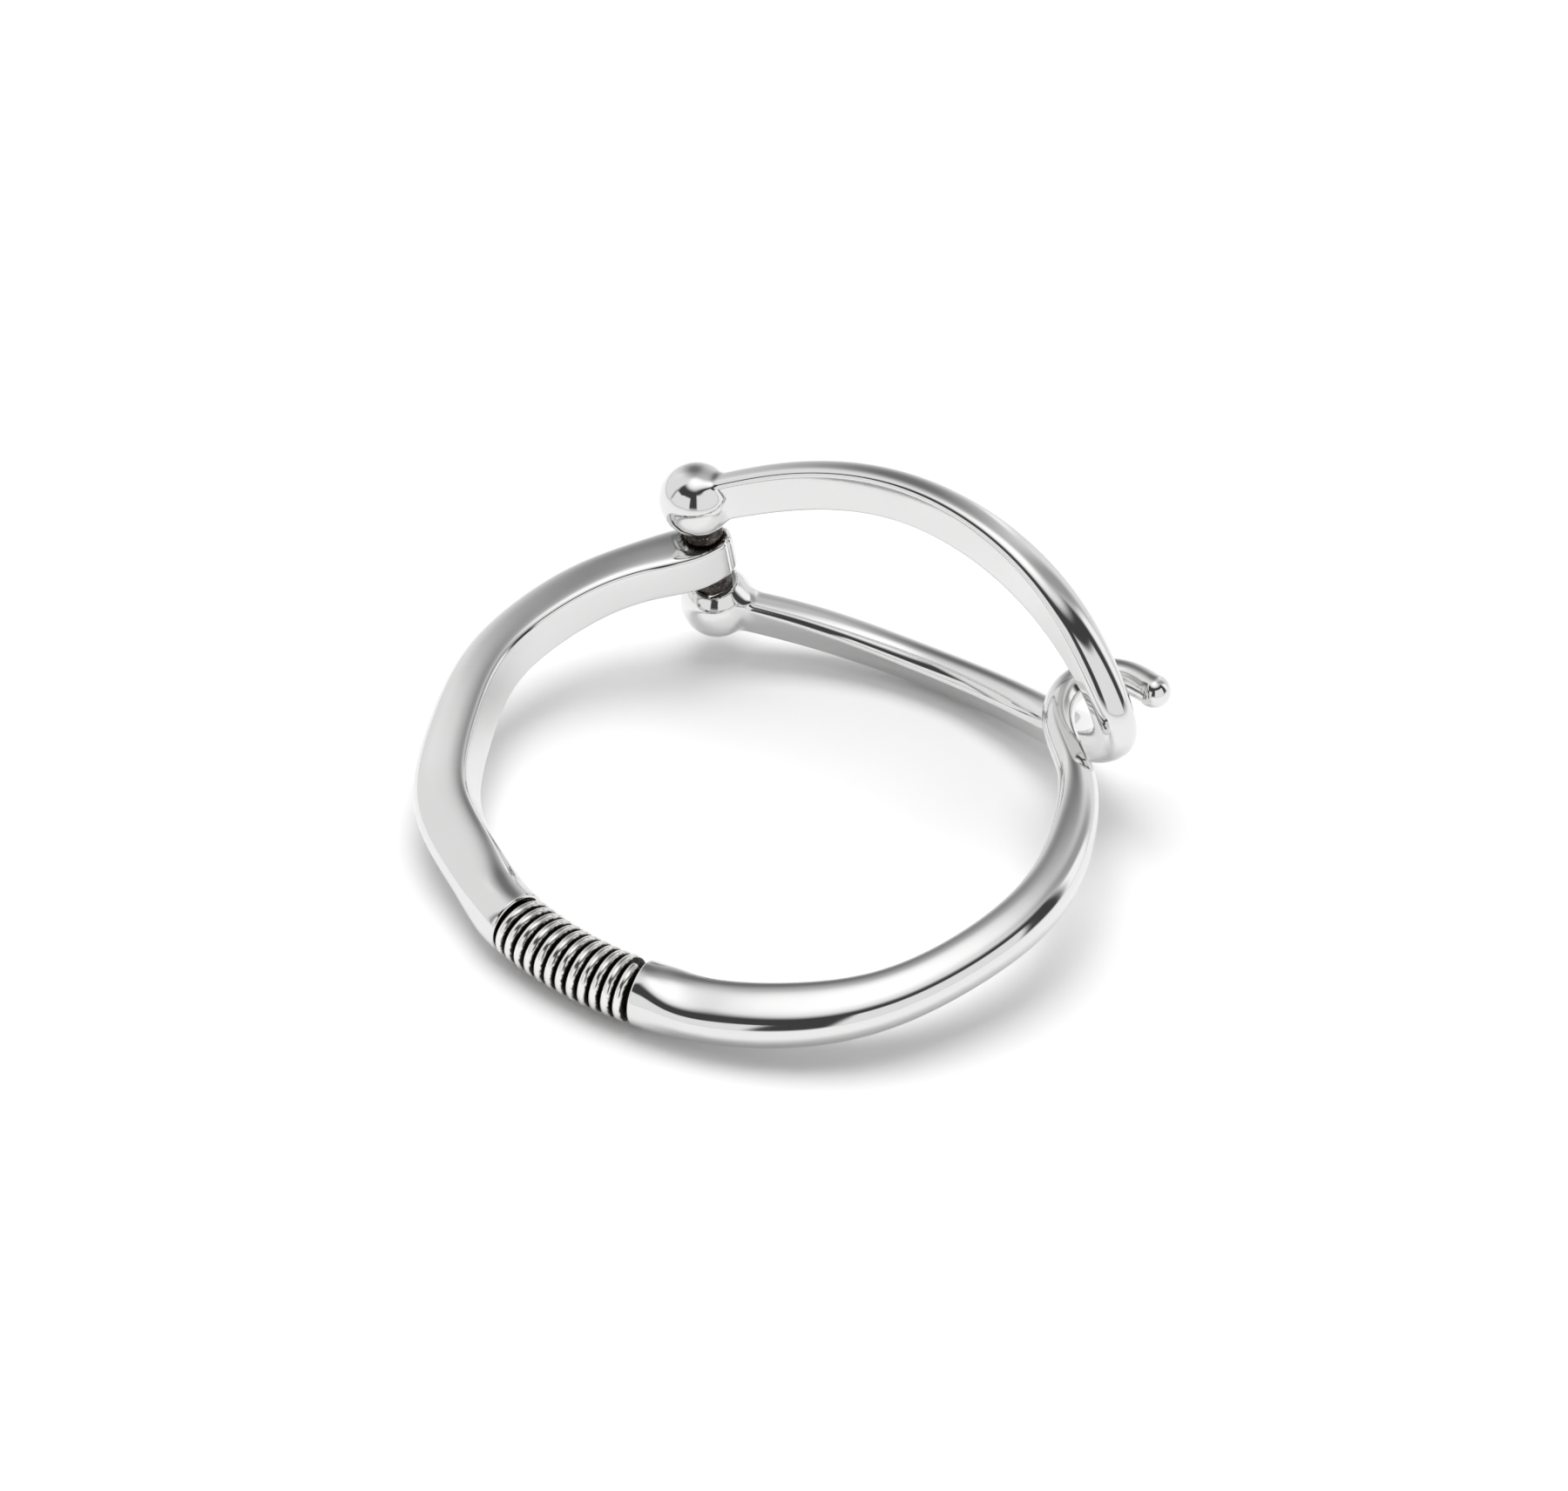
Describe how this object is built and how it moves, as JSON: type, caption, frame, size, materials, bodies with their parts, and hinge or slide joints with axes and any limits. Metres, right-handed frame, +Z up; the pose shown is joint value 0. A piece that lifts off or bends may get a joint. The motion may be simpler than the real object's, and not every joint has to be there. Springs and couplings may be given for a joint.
{
  "type": "hinged hook bangle",
  "caption": "Oval hook bangle of polished silver with a wire-wrapped front and a tall hinged loop that catches the hook.",
  "frame": {"origin": "middle of the bangle's bounding box, on the surface it lies on", "axes": "+Z up from the surface, +X along the widest way from the hinge towards the hook, +Y from the wire wrap towards the loop"},
  "size_m": [0.067, 0.06, 0.0291],
  "materials": {
    "polished_silver": "mirror-polished sterling silver",
    "wound_silver_wire": "polished wire with blackened grooves",
    "hinge_silver": "bright drawn silver",
    "oxidised_silver": "blackened, slightly granular"
  },
  "bodies": {
    "hoop": {"tongue_half": "polished_silver", "hook_half": "polished_silver", "core_rod": "hinge_silver", "wire_wrap": "wound_silver_wire"},
    "loop": {"loop": "polished_silver", "hinge_pin": "hinge_silver", "upper_collar": "oxidised_silver", "lower_collar": "oxidised_silver"}
  },
  "joints": [
    {"name": "loop_swing", "type": "hinge", "parent": "hoop", "child": "loop", "pos_m": [-0.02077, 0.01948, 0.01339], "axis": [0, -0.2164, 0.9763], "range_deg": [0, 268], "deforming": ["hook_half"]}
  ]
}
